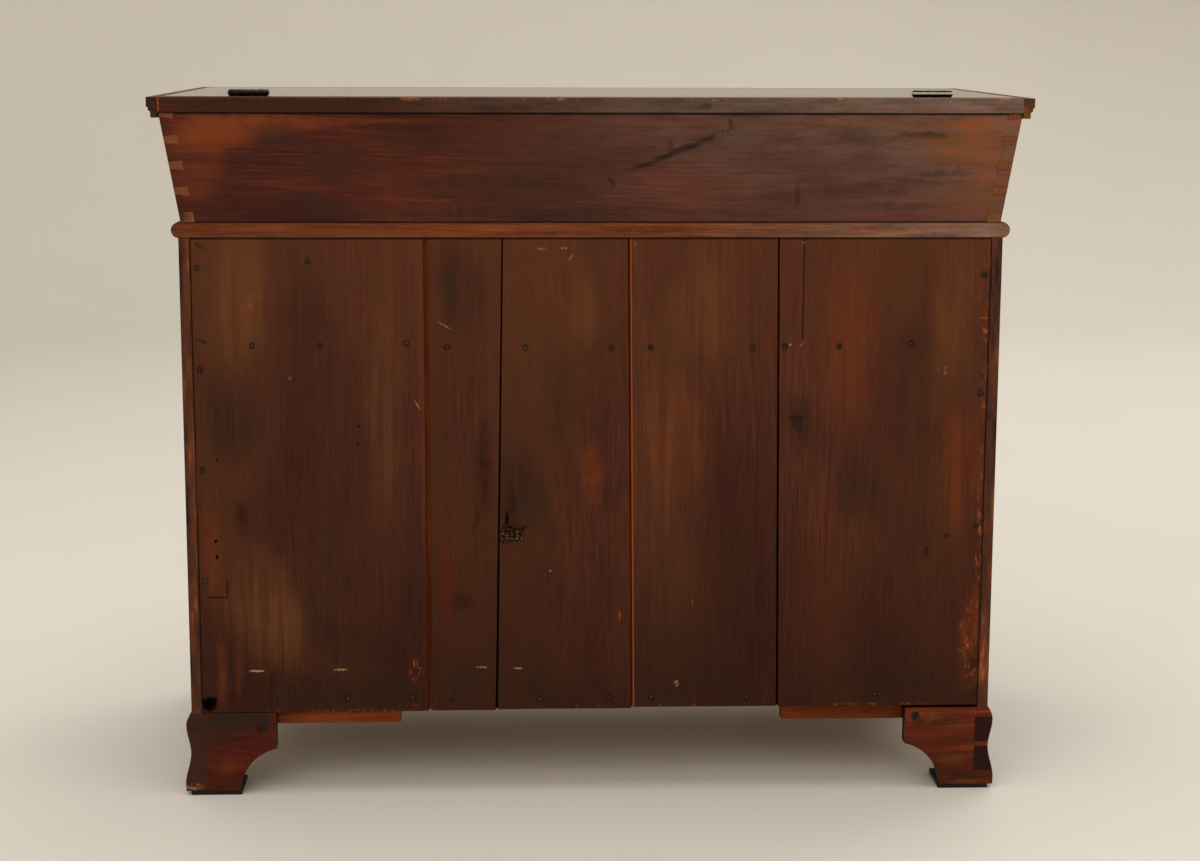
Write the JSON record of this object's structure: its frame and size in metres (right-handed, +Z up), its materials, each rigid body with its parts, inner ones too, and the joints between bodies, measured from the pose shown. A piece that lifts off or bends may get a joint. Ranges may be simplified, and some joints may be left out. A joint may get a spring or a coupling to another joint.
{
  "type": "dry sink",
  "caption": "Country dry sink: a lift lid over a splayed dovetailed trough, drawers over panelled doors, ogee bracket feet and a boarded back.",
  "frame": {"origin": "on the floor, under the middle of the lid's outline", "axes": "+Z up; -Y is the front with the drawers and doors; +X to the right of someone who faces the front"},
  "size_m": [1.1216, 0.5402, 0.9212],
  "materials": {
    "case_wood": "aged brown varnish, worn to orange along the edges",
    "back_wood": "thin dark brown stain, dull, with stains and light patches",
    "trough_wood": "reddish brown varnish",
    "lid_wood": "dark brown varnish, glossy on top",
    "foot_wood": "red-brown varnish, chipped at the toes",
    "front_wood": "reddish brown varnish",
    "knob_wood": "turned and varnished",
    "inner_wood": "bare, aged",
    "raw_wood": "bare, orange, newer than the case",
    "pad_wood": "near-black",
    "hinge_brass": "dark bronze patina",
    "nail_iron": "dark iron",
    "screw_steel": "dull steel"
  },
  "bodies": {
    "case": {"side_panel_left": "case_wood", "side_panel_right": "case_wood", "back_board_1": "back_wood", "back_board_2": "back_wood", "back_board_3": "back_wood", "back_board_4": "back_wood", "back_board_5": "back_wood", "back_nails": "nail_iron", "waist_board": "case_wood", "trough_back": "trough_wood", "trough_front": "trough_wood", "trough_side_left": "trough_wood", "trough_side_right": "trough_wood", "lid_rail": "lid_wood", "rail_mouldings": "lid_wood", "case_bottom": "inner_wood", "front_stiles": "case_wood", "centre_stile": "case_wood", "top_rail": "case_wood", "drawer_rail": "case_wood", "drawer_divider": "case_wood", "bottom_rail": "case_wood", "door_stop": "inner_wood", "rear_rail": "inner_wood", "rear_top_cleat": "inner_wood", "drawer_runners": "inner_wood", "drawer_guides": "inner_wood", "shelf": "inner_wood", "shelf_cleats": "inner_wood", "foot_rear_left": "foot_wood", "foot_rear_right": "foot_wood", "foot_front_left": "foot_wood", "foot_front_right": "foot_wood", "corner_blocks": "inner_wood", "foot_pads": "pad_wood", "foot_cleats": "raw_wood", "foot_screws": "screw_steel", "lid_hinge_fixed": "hinge_brass", "door_hinge_fixed": "hinge_brass"},
    "lid": {"lid_board": "lid_wood", "lid_front_moulding": "lid_wood", "lid_side_mouldings": "lid_wood", "lid_battens": "inner_wood", "lid_hinge_moving": "hinge_brass"},
    "drawer_left": {"drawer_left_front": "front_wood", "drawer_left_box": "inner_wood", "drawer_left_bottom": "inner_wood", "drawer_left_knob": "knob_wood"},
    "drawer_right": {"drawer_right_front": "front_wood", "drawer_right_box": "inner_wood", "drawer_right_bottom": "inner_wood", "drawer_right_knob": "knob_wood"},
    "door_left": {"door_left_frame": "front_wood", "door_left_panel": "front_wood", "door_left_knob": "knob_wood", "door_left_hinges": "hinge_brass"},
    "door_right": {"door_right_frame": "front_wood", "door_right_panel": "front_wood", "door_right_knob": "knob_wood", "door_right_hinges": "hinge_brass"}
  },
  "joints": [
    {"name": "lid_hinge", "type": "hinge", "parent": "case", "child": "lid", "pos_m": [0, 0.21938, 0.917], "axis": [-1, 0, 0], "range_deg": [0, 105]},
    {"name": "drawer_left_slide", "type": "slide", "parent": "case", "child": "drawer_left", "axis": [0, -1, 0], "range_m": [0, 0.33]},
    {"name": "drawer_right_slide", "type": "slide", "parent": "case", "child": "drawer_right", "axis": [0, -1, 0], "range_m": [0, 0.33]},
    {"name": "door_left_hinge", "type": "hinge", "parent": "case", "child": "door_left", "pos_m": [-0.47975, -0.23857, 0.368], "axis": [0, 0, -1], "range_deg": [0, 170]},
    {"name": "door_right_hinge", "type": "hinge", "parent": "case", "child": "door_right", "pos_m": [0.47975, -0.23857, 0.368], "axis": [0, 0, 1], "range_deg": [0, 170]}
  ]
}
